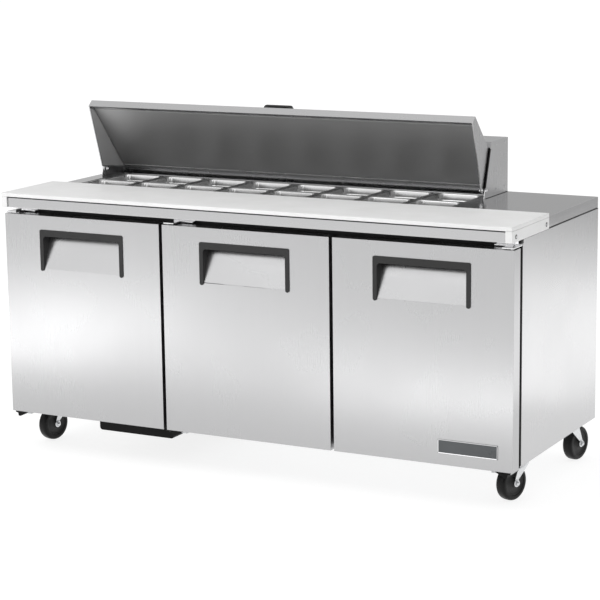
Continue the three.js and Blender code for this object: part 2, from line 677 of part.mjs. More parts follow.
function compressor() {
  const shell = [
    [0, 0], [62, 0], [68, 12], [70, 60], [70, 118], [64, 150], [44, 172], [0, 180],
  ].map(([r, z]) => new THREE.Vector2(r, z));
  return join([
    new THREE.LatheGeometry(shell, 16).rotateX(Math.PI / 2).translate(0, 0, 12),
    box(-80, 80, -60, 60, 0, 6),
    bar("z", 12, 14, [-55, -40, 0], 12),
    bar("z", 12, 14, [55, -40, 0], 12),
    bar("z", 12, 14, [-55, 40, 0], 12),
    bar("z", 12, 14, [55, 40, 0], 12),
    bar("z", 6, 40, [20, 30, 165], 10),
  ]);
}

// Slotted cover of the machine compartment, with the collar that the mains lead passes through.
function rearGrille() {
  const x0 = MACHINE.x0 - 12;
  const x1 = MACHINE.x1 + 12;
  const slots = [];
  for (let i = 0; i < 9; i++) {
    const z = BODY_BOTTOM + 26 + i * 29;
    slots.push(box(x0 + 25, x1 - 25, BODY_BACK - 5, BACK + 5, z, z + 14));
  }
  const { x, z, radius, bore, depth } = GLAND;
  const face = BODY_BACK + GAP;
  const cover = box(x0, x1, face, BACK, BODY_BOTTOM, MACHINE.top + 15);
  const collar = bar("y", radius, depth + 1, [x, face - depth, z], 24);
  return cut(join([cover, collar]), [...slots, bar("y", bore, depth + 20, [x, face - depth - 5, z], 24)]);
}

function addRefrigerationUnit() {
  add(table, "unit_tray", unitTray(), blackSteel);
  add(groupAt(table, -498, 235, TRAY.bottom + 3 + GAP), "compressor", compressor(), blackSteel);
  add(table, "condenser_coil", finnedCoil(-414, -304, 300, 350, 108, 330, 9), aluminium);
  const fan = groupAt(table, -355, 262, 222);
  fan.rotation.z = Math.PI;
  const stand = box(-6, 6, 52, 58, TRAY.bottom + 3 + GAP - 222, 0);
  add(fan, "condenser_fan", fanRotor(52), blackPlastic);
  add(fan, "condenser_fan_motor", join([fanMotor(50), stand]), blackSteel);
  add(table, "rear_grille", rearGrille(), galvanised);
}

// ---------------------------------------------------------------- casters
// Swivel fork with its crown, stem and axle; the wheel trails towards dir * Y.
function casterFork(dir) {
  const cheekX = WHEEL_WIDTH / 2 + 2.5;
  const axle = [dir * CASTER_TRAIL, WHEEL_RADIUS];
  const cheek = new THREE.Shape();
  const crown = 124;
  cheek.moveTo(-24, crown);
  cheek.lineTo(-24, crown - 14);
  const angle = dir > 0 ? 0.75 * Math.PI : 1.05 * Math.PI;
  cheek.absarc(axle[0], axle[1], 12, angle, angle + 1.2 * Math.PI, false);
  cheek.lineTo(24, crown - 14);
  cheek.lineTo(24, crown);
  return join([
    alongX(cheek, -cheekX - 3, -cheekX),
    alongX(cheek, cheekX, cheekX + 3),
    box(-cheekX - 3, cheekX + 3, -24, 24, crown - 3, crown),
    bar("z", 28, 6.7, [0, 0, crown - GAP], 24),
    bar("x", AXLE_RADIUS, 2 * cheekX + 18, [-cheekX - 9, axle[0], axle[1]], 12),
    bar("x", 9, 6, [-cheekX - 9, axle[0], axle[1]], 6),
    bar("x", 9, 6, [cheekX + 3, axle[0], axle[1]], 6),
  ]);
}

function casterWheel() {
  const bore = AXLE_RADIUS + 0.6;
  const half = WHEEL_WIDTH / 2;
  const r = WHEEL_RADIUS;
  const profile = [
    [bore, -half - 1.5], [14, -half - 1.5], [17, -half + 4], [r - 17, -half + 4], [r - 16, -half],
    [r - 5, -half], [r, -half + 7], [r, half - 7], [r - 5, half],
    [r - 16, half], [r - 17, half - 4], [17, half - 4], [14, half + 1.5], [bore, half + 1.5],
    [bore, -half - 1.5],
  ].map(([radius, x]) => new THREE.Vector2(radius, x));
  return new THREE.LatheGeometry(profile, 24).rotateZ(-Math.PI / 2);
}

// Foot pedal of the wheel brake, hinged on the fork's crown above the wheel.
function brakePedal(dir) {
  const arm = outline([
    [dir * 26, 121.7], [dir * 26, 118.5], [dir * 60, 117.3],
    [dir * 84, 112], [dir * 88, 116], [dir * 62, 121.7],
  ]);
  return alongX(arm, -14, 14);
}

function addCaster(name, x, y, dir, braked) {
  const group = groupAt(table, x, y, 0);
  group.rotation.z = THREE.MathUtils.degToRad(CASTER_TURN[name]);
  add(group, `${name}_caster_fork`, casterFork(dir), zinc);
  const wheel = groupAt(group, 0, dir * CASTER_TRAIL, WHEEL_RADIUS);
  add(wheel, `${name}_caster_wheel`, casterWheel(), rubber);
  if (braked) add(group, `${name}_brake_pedal`, brakePedal(dir), blackPlastic);
}

// ---------------------------------------------------------------- assembly
add(table, "outer_shell", outerShell(), stainless);
add(table, "base_frame", baseFrame(), galvanised);
add(table, "insulated_liner", insulatedLiner(), lining);
add(table, "front_frame", frontFrame(), blackPlastic);
for (const door of DOORS) {
  add(table, `${door.name}_top_hinge`, topHinge(door), chrome);
  addDoor(door);
}
for (const section of SECTIONS) add(table, `${section.name}_shelf_rack`, shelfRack(section), coatedWire);

add(table, "worktop", worktop(), stainless);
add(table, "left_board_bracket", boardBracket(-1), polyethylene);
add(table, "right_board_bracket", boardBracket(1), polyethylene);
add(table, "cutting_board", cuttingBoard(), polyethylene);
add(table, "pan_divider_frame", panDividerFrame(), stainless);
addPans();

add(table, "hood_shell", hoodShell(), stainless);
add(table, "lid_shell", lidShell(), stainless);
add(table, "lid_liner", lidLiner(), darkLiner);
add(table, "lid_handle", lidHandle(), blackPlastic);
add(table, "left_lid_pin", lidPin(-1), chrome);
add(table, "right_lid_pin", lidPin(1), chrome);

addEvaporator();
addRefrigerationUnit();

addCaster("front_left", -CASTER_X, CASTER_FRONT_Y, -1, true);
addCaster("front_right", CASTER_X, CASTER_FRONT_Y, -1, true);
addCaster("rear_left", -CASTER_X, CASTER_REAR_Y, 1, false);
addCaster("rear_right", CASTER_X, CASTER_REAR_Y, 1, false);

export default table;
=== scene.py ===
"""Looks of a three-door sandwich prep table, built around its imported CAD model.

Lengths are in metres, +Z is up, and the doors face -Y. Every piece is made where the CAD model
has its neighbours, and rides on the CAD body that carries it.
"""
import json
import math

import bmesh
import bpy
from mathutils import Matrix, Vector


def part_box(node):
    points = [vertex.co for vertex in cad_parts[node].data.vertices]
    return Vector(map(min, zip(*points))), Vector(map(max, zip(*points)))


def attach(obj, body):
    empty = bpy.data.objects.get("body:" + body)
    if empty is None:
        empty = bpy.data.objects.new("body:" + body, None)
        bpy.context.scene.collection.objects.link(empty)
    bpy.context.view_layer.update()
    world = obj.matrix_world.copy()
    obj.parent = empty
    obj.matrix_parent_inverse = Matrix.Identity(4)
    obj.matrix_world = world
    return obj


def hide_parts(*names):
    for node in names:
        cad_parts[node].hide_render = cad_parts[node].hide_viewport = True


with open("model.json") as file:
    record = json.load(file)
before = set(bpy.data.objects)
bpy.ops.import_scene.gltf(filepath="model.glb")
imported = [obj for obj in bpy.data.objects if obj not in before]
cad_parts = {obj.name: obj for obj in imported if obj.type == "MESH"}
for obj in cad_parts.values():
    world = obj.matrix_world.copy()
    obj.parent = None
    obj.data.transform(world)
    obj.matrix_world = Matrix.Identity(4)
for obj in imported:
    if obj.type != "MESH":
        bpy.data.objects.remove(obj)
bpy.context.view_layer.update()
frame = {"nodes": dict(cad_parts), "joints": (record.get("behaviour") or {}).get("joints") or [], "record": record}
NODES = frame["nodes"]
JOINTS = {joint["name"]: joint for joint in frame["joints"]}

MM = 0.001
UP = Vector((0, 0, 1))
RIGHT = Vector((1, 0, 0))
BACKWARD = Vector((0, 1, 0))
DOORS = ("left", "centre", "right")
SIDES = (("left", -1), ("right", 1))
CORNERS = ("front_left", "front_right", "rear_left", "rear_right")

CAMERA_PLACE = Vector((3.1659, -5.9666, 1.8762))
CAMERA_YAW = 0.4869  # radians to the left of +Y
CAMERA_PITCH = 0.197  # radians down
CAMERA_ROLL = -0.0129
CAMERA_LENS = 123.63  # millimetres
FLOOR_SIZE = 160
FLOOR_GLOW = 0.84
SUN_ENERGY = 0.5
SUN_SPREAD = math.radians(60)
SUN_DIRECTION = Vector((0.3, 0.35, -1))
SOFT_LIGHTS = (  # name, place, target, size and brightness
    ("front_softbox", (-2.4, -4.6, 2.3), (-0.3, 0, 0.7), (4.4, 2.6), 1.15),
    ("board_light", (0.05, -1.4, 2.0), (0.1, 0.1, 0.86), (1.5, 0.8), 1.5),
)
LOW_CARDS = (  # name, place, size and brightness of the light cards that lie by the cabinet
    ("left_door_card", (-1.95, -1.97, 0.02), (1.3, 1.15), 1.8),
    ("centre_door_card", (-0.75, -1.85, 0.02), (0.9, 0.9), 0.65),
    ("right_door_card", (0.32, -1.58, 0.02), (1.2, 0.5), 1.5),
    ("side_card", (1.75, 2.1, 0.02), (1.0, 2.4), 0.5),
)
FLAGS = (  # name, x from and to, z from and to, and glow of the grey panels behind the object
    ("worktop_flag", -1.9, -0.2, 0.9, 2.6, 0.46),
    ("side_flag", 1.2, 6.0, 0.0, 1.5, 0.52),
)
FLAG_Y = 4.5
ROOM_LIGHT = 0.28
BACKDROP_LIGHT = 0.62
CEILING_LIGHT = 0.45


# ---------------------------------------------------------------- camera and lamps
def add_camera():
    """The camera stands to the right of the doors, above the worktop, with a long lens."""
    level = math.cos(CAMERA_PITCH)
    forward = Vector((-math.sin(CAMERA_YAW) * level, math.cos(CAMERA_YAW) * level, -math.sin(CAMERA_PITCH)))
    right = Vector((math.cos(CAMERA_YAW), math.sin(CAMERA_YAW), 0))
    up = right.cross(forward)
    cos, sin = math.cos(CAMERA_ROLL), math.sin(CAMERA_ROLL)
    axes = Matrix((right * cos + up * sin, up * cos - right * sin, -forward)).transposed()
    data = bpy.data.cameras.new("camera")
    data.lens = CAMERA_LENS
    data.clip_end = 200
    camera = bpy.data.objects.new("camera", data)
    camera.matrix_world = Matrix.Translation(CAMERA_PLACE) @ axes.to_4x4()
    bpy.context.scene.collection.objects.link(camera)
    bpy.context.scene.camera = camera


def add_area_light(name, place, target, size, brightness):
    """A rectangular soft light at place, turned to target, left out of what the camera sees.

    Its brightness is its radiance, where the floor's is about 1.
    """
    data = bpy.data.lights.new(name, "AREA")
    data.shape = "RECTANGLE"
    data.size, data.size_y = size
    data.energy = brightness * math.pi * size[0] * size[1]
    light = bpy.data.objects.new(name, data)
    light.location = place
    light.rotation_euler = (Vector(target) - Vector(place)).to_track_quat("-Z", "Y").to_euler()
    light.visible_camera = False
    bpy.context.scene.collection.objects.link(light)


# ---------------------------------------------------------------- materials
def material_nodes(name):
    """A new material with its node tree and its shader."""
    material = bpy.data.materials.new(name)
    material.use_nodes = True
    tree = material.node_tree
    return material, tree, tree.nodes["Principled BSDF"]


def noise(tree, scale, stretch=(1, 1, 1), detail=4):
    """Noise in the object's own space; scale counts its features in a metre."""
    coordinates = tree.nodes.new("ShaderNodeTexCoord")
    mapping = tree.nodes.new("ShaderNodeMapping")
    mapping.inputs["Scale"].default_value = stretch
    texture = tree.nodes.new("ShaderNodeTexNoise")
    texture.inputs["Scale"].default_value = scale
    texture.inputs["Detail"].default_value = detail
    tree.links.new(coordinates.outputs["Object"], mapping.inputs["Vector"])
    tree.links.new(mapping.outputs["Vector"], texture.inputs["Vector"])
    return texture.outputs["Fac"]


def spread(tree, value, low, high, start=0.3, end=0.7):
    """value, from start to end, spread over low to high."""
    node = tree.nodes.new("ShaderNodeMapRange")
    node.inputs["From Min"].default_value = start
    node.inputs["From Max"].default_value = end
    node.inputs["To Min"].default_value = low
    node.inputs["To Max"].default_value = high
    tree.links.new(value, node.inputs["Value"])
    return node.outputs["Result"]


COLOUR_A, COLOUR_B, COLOUR_RESULT = 6, 7, 2  # the colour sockets of a Mix node


def mixed(tree, factor, first, second):
    """The colour between first and second; each is a colour or a socket."""
    node = tree.nodes.new("ShaderNodeMix")
    node.data_type = "RGBA"
    tree.links.new(factor, node.inputs["Factor"])
    for socket, colour in ((node.inputs[COLOUR_A], first), (node.inputs[COLOUR_B], second)):
        if isinstance(colour, tuple):
            socket.default_value = (*colour, 1)
        else:
            tree.links.new(colour, socket)
    return node.outputs[COLOUR_RESULT]


def bump(tree, shader, height, distance):
    """Raises the surface by height times distance, over any bump that the shader has."""
    node = tree.nodes.new("ShaderNodeBump")
    node.inputs["Strength"].default_value = 1
    node.inputs["Distance"].default_value = distance
    tree.links.new(height, node.inputs["Height"])
    normal = shader.inputs["Normal"]
    if normal.is_linked:
        tree.links.new(normal.links[0].from_socket, node.inputs["Normal"])
    tree.links.new(node.outputs["Normal"], normal)


def tinted(colour, factor):
    """The colour made darker or lighter by factor."""
    return tuple(min(1, channel * factor) for channel in colour)


def grain_stretch(grain, factor):
    """Noise scales that draw features out along the X, Y or Z axis."""
    scales = [1.0, 1.0, 1.0]
    scales["XYZ".index(grain)] = factor
    return scales


BRUSH_LINES = 900  # in a metre across the grain
LINE_DEPTH = 0.0000001
LINE_ROUGHNESS = 0.003
CLOUD_ROUGHNESS = 0.02
STREAK_TONE = 0.004


def brushed_metal(name, colour, roughness, grain, anisotropy=0.4):
    """Brushed sheet whose grain runs along an axis, with streaks, clouding and handling marks."""
    material, tree, shader = material_nodes(name)
    lines = noise(tree, BRUSH_LINES, grain_stretch(grain, 0.004), 3)
    bands = noise(tree, 45, grain_stretch(grain, 0.04), 3)
    clouds = noise(tree, 3.5, detail=2)
    smudges = noise(tree, 17, detail=3)
    dark, light = tinted(colour, 1 - STREAK_TONE), tinted(colour, 1 + STREAK_TONE)
    tone = mixed(tree, spread(tree, bands, 0, 1), dark, light)
    tone = mixed(tree, spread(tree, smudges, 0, 0.10, 0.6, 0.8), tone, tinted(colour, 0.9))
    tree.links.new(tone, shader.inputs["Base Color"])
    shader.inputs["Metallic"].default_value = 1
    shader.inputs["Anisotropic"].default_value = anisotropy
    direction = tree.nodes.new("ShaderNodeTangent")
    direction.direction_type = "RADIAL"
    direction.axis = "Z" if grain == "Z" else "X"
    tree.links.new(direction.outputs["Tangent"], shader.inputs["Tangent"])
    cloudy = tree.nodes.new("ShaderNodeMath")
    cloudy.operation = "ADD"
    grained = spread(tree, lines, roughness - LINE_ROUGHNESS, roughness + LINE_ROUGHNESS)
    tree.links.new(grained, cloudy.inputs[0])
    tree.links.new(spread(tree, clouds, -CLOUD_ROUGHNESS, CLOUD_ROUGHNESS), cloudy.inputs[1])
    tree.links.new(cloudy.outputs[0], shader.inputs["Roughness"])
    bump(tree, shader, lines, LINE_DEPTH)
    return material


def plain_metal(name, colour, roughness, speck=0.08):
    """Plated or polished metal with a faint mottle and small dents in its gloss."""
    material, tree, shader = material_nodes(name)
    mottle = noise(tree, 120, detail=5)
    dark, light = tinted(colour, 1 - speck), tinted(colour, 1 + speck)
    tree.links.new(mixed(tree, spread(tree, mottle, 0, 1), dark, light), shader.inputs["Base Color"])
    gloss = spread(tree, noise(tree, 30), roughness * 0.8, roughness * 1.3)
    tree.links.new(gloss, shader.inputs["Roughness"])
    shader.inputs["Metallic"].default_value = 1
    bump(tree, shader, mottle, 0.00005)
    return material


def spangled_metal(name, colour, roughness):
    """Galvanised sheet: crystals of zinc in slightly different greys."""
    material, tree, shader = material_nodes(name)
    coordinates = tree.nodes.new("ShaderNodeTexCoord")
    crystals = tree.nodes.new("ShaderNodeTexVoronoi")
    crystals.inputs["Scale"].default_value = 90
    tree.links.new(coordinates.outputs["Object"], crystals.inputs["Vector"])
    grey = tree.nodes.new("ShaderNodeSeparateColor")
    tree.links.new(crystals.outputs["Color"], grey.inputs["Color"])
    shade = spread(tree, grey.outputs["Red"], 0, 1, 0, 1)
    tone = mixed(tree, shade, tinted(colour, 0.82), tinted(colour, 1.12))
    tree.links.new(tone, shader.inputs["Base Color"])
    gloss = spread(tree, grey.outputs["Green"], roughness - 0.1, roughness + 0.12, 0, 1)
    tree.links.new(gloss, shader.inputs["Roughness"])
    shader.inputs["Metallic"].default_value = 1
    bump(tree, shader, noise(tree, 200), 0.00006)
    return material


def moulded(name, colour, roughness, grain=900, depth=0.00004, wear=0.12, gloss=0.35):
    """Moulded plastic or rubber with a fine grain, cloudy gloss and rubbed patches."""
    material, tree, shader = material_nodes(name)
    rubbed = noise(tree, 14, detail=6)
    tone = mixed(tree, spread(tree, rubbed, 0, 1, 0.35, 0.75), colour, tinted(colour, 1 + wear))
    tree.links.new(tone, shader.inputs["Base Color"])
    tree.links.new(spread(tree, rubbed, roughness - 0.06, roughness + 0.08), shader.inputs["Roughness"])
    shader.inputs["Specular IOR Level"].default_value = gloss
    bump(tree, shader, noise(tree, grain, detail=2), depth)
    return material


def cutting_board_plastic():
    """White polyethylene with fine, crossed knife marks and a satin skin."""
    material, tree, shader = material_nodes("white_polyethylene")
    strokes = ((0.03, 1, 1), (1, 0.03, 1), (0.2, 0.9, 1))
    marks = [noise(tree, 240, stretch, 2) for stretch in strokes]
    worn = noise(tree, 9, detail=5)
    tone = mixed(tree, spread(tree, worn, 0, 1), (0.79, 0.79, 0.785), (0.84, 0.84, 0.84))
    tree.links.new(tone, shader.inputs["Base Color"])
    tree.links.new(spread(tree, marks[0], 0.36, 0.52), shader.inputs["Roughness"])
    shader.inputs["Subsurface Weight"].default_value = 0.06
    shader.inputs["Subsurface Radius"].default_value = (0.004, 0.004, 0.004)
    for height in marks:
        bump(tree, shader, height, 0.00004)
    return material


STEEL = (0.57, 0.57, 0.575)
# The doors' stainless is the same sheet painted darker: painted shade that dims the doors under the lamps.
DOOR_STEEL_PAINTED_SHADE = (0.49, 0.49, 0.495)
MATERIALS = {
    "stainless": brushed_metal("brushed_stainless_sheet", STEEL, 0.27, "Z"),
    "stainless_top": brushed_metal("brushed_stainless_top", (0.52, 0.52, 0.525), 0.14, "X"),
    "stainless_door": brushed_metal("brushed_stainless_door_painted_shade", DOOR_STEEL_PAINTED_SHADE, 0.28, "Z"),
    "pan_stainless": brushed_metal("polished_pan_steel", (0.62, 0.62, 0.62), 0.2, "X", 0.2),
    "galvanised_steel": spangled_metal("galvanised_steel", (0.55, 0.56, 0.57), 0.38),
    "cabinet_lining": brushed_metal("clear_coated_aluminium", (0.68, 0.69, 0.70), 0.36, "Z", 0.3),
    "polyethylene": cutting_board_plastic(),
    "black_plastic": moulded("black_plastic", (0.02, 0.02, 0.02), 0.5),
    "gasket_rubber": moulded("gasket_rubber", (0.012, 0.012, 0.012), 0.55),
    "wheel_rubber": moulded("wheel_rubber", (0.005, 0.005, 0.005), 0.35, wear=0.6, gloss=0.2),
    "chrome": plain_metal("chrome", (0.80, 0.80, 0.81), 0.09, 0.02),
    "zinc_plate": plain_metal("zinc_plate", (0.70, 0.71, 0.72), 0.24),
    "dark_liner": brushed_metal("dark_liner", (0.52, 0.52, 0.52), 0.52, "X", 0),
    "lid_lining": moulded("lid_cheek_lining", (0.5, 0.5, 0.5), 0.5, wear=0.05),
    "coated_wire": moulded("grey_wire_coating", (0.52, 0.53, 0.53), 0.35, wear=0.06),
    "black_steel": moulded("black_enamelled_steel", (0.004, 0.004, 0.004), 0.5, 300, 0.00008, gloss=0.15),
    "aluminium_fins": plain_metal("aluminium_fins", (0.74, 0.74, 0.73), 0.32),
    "copper": plain_metal("copper_tube", (0.72, 0.36, 0.22), 0.3),
    "badge_face": moulded("badge_enamel", (0.085, 0.09, 0.095), 0.3, wear=0.2),
}
NODE_FINISHES = {"worktop": "stainless_top", "badge_plate": "badge_face"}  # in place of their slots'


# ---------------------------------------------------------------- studio
def add_world():
    """A white backdrop behind the object, a dimmer room in front of it and a bright ceiling."""
    world = bpy.data.worlds.new("studio")
    bpy.context.scene.world = world
    world.use_nodes = True
    tree = world.node_tree
    coordinates = tree.nodes.new("ShaderNodeTexCoord")
    split = tree.nodes.new("ShaderNodeSeparateXYZ")
    tree.links.new(coordinates.outputs["Generated"], split.inputs["Vector"])
    depth = spread(tree, split.outputs["Y"], ROOM_LIGHT, BACKDROP_LIGHT, -0.6, 0.8)
    ceiling = spread(tree, split.outputs["Z"], 0, CEILING_LIGHT, 0.3, 0.9)
    total = tree.nodes.new("ShaderNodeMath")
    total.operation = "ADD"
    tree.links.new(depth, total.inputs[0])
    tree.links.new(ceiling, total.inputs[1])
    tree.links.new(total.outputs[0], tree.nodes["Background"].inputs["Strength"])
    tree.nodes["Background"].inputs["Color"].default_value = (1, 1, 1, 1)


def add_floor():
    """A plain floor, nearly white, that shows only a faint shadow."""
    bpy.ops.mesh.primitive_plane_add(size=FLOOR_SIZE)
    floor = bpy.context.object
    floor.name = "floor"
    material, _, shader = material_nodes("floor")
    shader.inputs["Base Color"].default_value = (0.25, 0.25, 0.25, 1)
    shader.inputs["Roughness"].default_value = 0.8
    shader.inputs["Specular IOR Level"].default_value = 0.05
    shader.inputs["Emission Color"].default_value = (1, 1, 1, 1)
    shader.inputs["Emission Strength"].default_value = FLOOR_GLOW
    floor.data.materials.append(material)


def add_sun():
    """A wide soft light from above, left out of reflections."""
    data = bpy.data.lights.new("overhead", "SUN")
    data.energy = SUN_ENERGY
    data.angle = SUN_SPREAD
    overhead = bpy.data.objects.new("overhead", data)
    overhead.rotation_euler = SUN_DIRECTION.to_track_quat("-Z", "Y").to_euler()
    overhead.visible_glossy = False
    bpy.context.scene.collection.objects.link(overhead)


def add_studio():
    """World, floor, sun, soft lights above the doors, low cards beside the object, and flags."""
    bpy.context.scene.view_settings.view_transform = "Standard"
    add_world()
    add_floor()
    add_sun()
    for light in SOFT_LIGHTS:
        add_area_light(*light)
    for name, place, size, brightness in LOW_CARDS:
        add_area_light(name, place, Vector(place) + UP, size, brightness)
    for flag in FLAGS:
        add_flag(*flag)


def add_flag(name, x0, x1, z0, z1, glow):
    """A grey panel behind the object, which only reflections see."""
    mesh = bpy.data.meshes.new(name)
    corners = [(x, FLAG_Y, z) for x, z in ((x0, z0), (x1, z0), (x1, z1), (x0, z1))]
    mesh.from_pydata(corners, [], [(0, 1, 2, 3)])
    flag = bpy.data.objects.new(name, mesh)
    bpy.context.scene.collection.objects.link(flag)
    material, _, shader = material_nodes(name)
    shader.inputs["Base Color"].default_value = (0, 0, 0, 1)
    shader.inputs["Emission Color"].default_value = (1, 1, 1, 1)
    shader.inputs["Emission Strength"].default_value = glow
    mesh.materials.append(material)
    flag.visible_camera = False
    flag.visible_diffuse = False
    flag.visible_shadow = False


# ---------------------------------------------------------------- mesh building
def bridge(bm, first, second):
    """Faces between two rings of vertices; a ring of one vertex is a pole."""
    count = max(len(first), len(second))
    for k in range(count):
        after = (k + 1) % count
        corners = [first[k % len(first)], first[after % len(first)]]
        corners += [second[after % len(second)], second[k % len(second)]]
        unique = list(dict.fromkeys(corners))
        if len(unique) > 2:
            bm.faces.new(unique)


def circle(bm, centre, across, other, radius, sides):
    """A ring of vertices in the plane of two unit vectors; with no radius it is one vertex."""
    turns = [2 * math.pi * k / sides for k in range(sides)] if radius > 1e-9 else [0]
    return [bm.verts.new(centre + (across * math.cos(t) + other * math.sin(t)) * radius) for t in turns]


def lathe(bm, profile, centre, axis, sides=32, closed=False):
    """Turns a profile of (radius, distance along the axis) round an axis through centre."""
    axis = Vector(axis).normalized()
    across = axis.orthogonal().normalized()
    other = axis.cross(across)
    rings = []
    for radius, along in profile:
        rings.append(circle(bm, Vector(centre) + axis * along, across, other, radius, sides))
    for low, high in zip(rings, rings[1:] + (rings[:1] if closed else [])):
        bridge(bm, low, high)


def rounded_box(bm, first, second, radius=0.001, segments=3):
    """A box between two opposite corners, with its edges rounded."""
    low = Vector(map(min, first, second))
    high = Vector(map(max, first, second))
    size = high - low
    place = Matrix.Translation((low + high) / 2) @ Matrix.Diagonal((*size, 1))
    made = bmesh.ops.create_cube(bm, size=1, matrix=place)
    edges = list({edge for vert in made["verts"] for edge in vert.link_edges})
    offset = min(radius, min(size) * 0.45)
    bmesh.ops.bevel(bm, geom=edges, offset=offset, segments=segments, profile=0.5, affect="EDGES")


def tube(bm, points, radius, sides=12):
    """A round bar along points, closed at its ends."""
    points = [Vector(point) for point in points]
    last = len(points) - 1
    side = (points[1] - points[0]).orthogonal().normalized()
    rings = []
    for i, point in enumerate(points):
        along = (points[min(i + 1, last)] - points[max(i - 1, 0)]).normalized()
        side = (side - along * side.dot(along)).normalized()
        rings.append(circle(bm, point, side, along.cross(side), radius, sides))
    for first, second in zip(rings, rings[1:]):
        bridge(bm, first, second)
    bm.faces.new(rings[0])
    bm.faces.new(rings[-1])


BEND_STEPS = 6


def bent(corners, radius):
    """The points of a path through corners, with each inner corner rounded."""
    corners = [Vector(corner) for corner in corners]
    path = [corners[0]]
    for before, corner, after in zip(corners, corners[1:], corners[2:]):
        start = corner + (before - corner).normalized() * radius
        end = corner + (after - corner).normalized() * radius
        for k in range(BEND_STEPS + 1):
            t = k / BEND_STEPS
            path.append(start * (1 - t) ** 2 + corner * (2 * t * (1 - t)) + end * t ** 2)
    return path + [corners[-1]]


def prism(bm, outline, along):
    """A flat outline of points carried along a vector."""
    along = Vector(along)
    first = [bm.verts.new(Vector(point)) for point in outline]
    second = [bm.verts.new(Vector(point) + along) for point in outline]
    bridge(bm, first, second)
    bm.faces.new(first)
    bm.faces.new(second)


def rounded_ring(width, height, radius, steps=6):
    """Points of a rounded rectangle about the origin, in its own plane."""
    points = []
    for quarter, (sx, sy) in enumerate(((1, 1), (-1, 1), (-1, -1), (1, -1))):
        centre = (sx * (width / 2 - radius), sy * (height / 2 - radius))
        for k in range(steps + 1):
            turn = math.pi / 2 * (quarter + k / steps)
            points.append((centre[0] + radius * math.cos(turn), centre[1] + radius * math.sin(turn)))
    return points


def swept_frame(bm, low, high, radius, profile):
    """A profile of (inset, y) carried round a rounded rectangle in the XZ plane."""
    middle = ((low[0] + high[0]) / 2, (low[1] + high[1]) / 2)
    size = (high[0] - low[0], high[1] - low[1])
    loops = []
    for inset, y in profile:
        corner = max(radius - inset, 0.0002)
        ring = rounded_ring(size[0] - 2 * inset, size[1] - 2 * inset, corner, steps=5)
        loops.append([bm.verts.new((middle[0] + x, y, middle[1] + z)) for x, z in ring])
    for first, second in zip(loops, loops[1:] + loops[:1]):
        bridge(bm, first, second)


# A screw head's rings, its height and its cross recess are shares of its radius.
SCREW_SIDES = 24
SCREW_RINGS = (1.0, 0.97, 0.86, 0.7, 0.55, 0.42, 0.28, 0.14)
SCREW_HEIGHT = 0.5
RECESS_DEPTH = 0.25
RECESS_FLOOR = 0.2
RECESS_HALF_WIDTH = 0.16
RECESS_REACH = 0.6
SHEET_SCREW = 3.5 * MM  # radius of the screw heads in sheet metal


def screw_head(bm, centre, normal, radius):
    """A pan head with a cross recess, standing on the surface at centre."""
    centre = Vector(centre)
    normal = Vector(normal).normalized()
    across = normal.orthogonal().normalized()
    other = normal.cross(across)
    rings = [circle(bm, centre, across, other, radius, SCREW_SIDES)]
    for share in SCREW_RINGS:
        ring = []
        for k in range(SCREW_SIDES):
            turn = 2 * math.pi * k / SCREW_SIDES
            x, y = share * math.cos(turn), share * math.sin(turn)
            height = SCREW_HEIGHT * math.sqrt(1 - 0.75 * share ** 2)
            if min(abs(x), abs(y)) < RECESS_HALF_WIDTH and share < RECESS_REACH:
                height -= RECESS_DEPTH
            ring.append(bm.verts.new(centre + (across * x + other * y + normal * height) * radius))
        rings.append(ring)
    rings.append([bm.verts.new(centre + normal * RECESS_FLOOR * radius)])
    for low, high in zip(rings, rings[1:]):
        bridge(bm, low, high)
    bm.faces.new(rings[0])


def hex_head(bm, centre, normal, radius, height):
    """A hexagon nut or bolt head with a domed top."""
    profile = [(0, 0), (radius, 0), (radius, height * 0.7), (radius * 0.86, height), (0, height)]
    lathe(bm, profile, centre, normal, 6)


def metres(section):
    """The points of a section given in millimetres."""
    return [(first * MM, second * MM) for first, second in section]


def outer_x(node, side):
    """Where a CAD node ends on its left (-1) or right (1) side."""
    low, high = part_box(node)
    return high.x if side > 0 else low.x


def piece(name, bm, finish, body, replaces=(), sharp=35, bevel=0):
    """The piece made of bm, in the material named finish, riding on body."""
    bmesh.ops.recalc_face_normals(bm, faces=bm.faces)
    mesh = bpy.data.meshes.new(name)
    bm.to_mesh(mesh)
    bm.free()
    mesh.polygons.foreach_set("use_smooth", [True] * len(mesh.polygons))
    mesh.set_sharp_from_angle(angle=math.radians(sharp))
    obj = bpy.data.objects.new(name, mesh)
    bpy.context.scene.collection.objects.link(obj)
    mesh.materials.append(MATERIALS[finish])
    if bevel:
        soften(obj, bevel)
    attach(obj, body)
    if replaces:
        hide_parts(*replaces)
    return obj


# ---------------------------------------------------------------- CAD pieces
EDGE_CREASE = 32  # degrees


def soften(obj, width, angle=EDGE_CREASE, pierced=False):
    """Rounds an object's sharp edges with modifiers, and leaves its mesh as it is.

    The flat faces of a pierced object aren't joined up, since one face can't hold many holes.
    """
    weld = obj.modifiers.new("weld", "WELD")
    weld.merge_threshold = 0.00002
    if not pierced:
        flat = obj.modifiers.new("flat", "DECIMATE")
        flat.decimate_type = "DISSOLVE"
        flat.angle_limit = math.radians(0.5)
    edges = obj.modifiers.new("edges", "BEVEL")
    edges.width = width
    edges.segments = 3
    edges.limit_method = "ANGLE"
    edges.angle_limit = math.radians(angle)
    edges.use_clamp_overlap = True
    edges.miter_outer = "MITER_ARC"
    normals = obj.modifiers.new("normals", "WEIGHTED_NORMAL")
    normals.keep_sharp = False


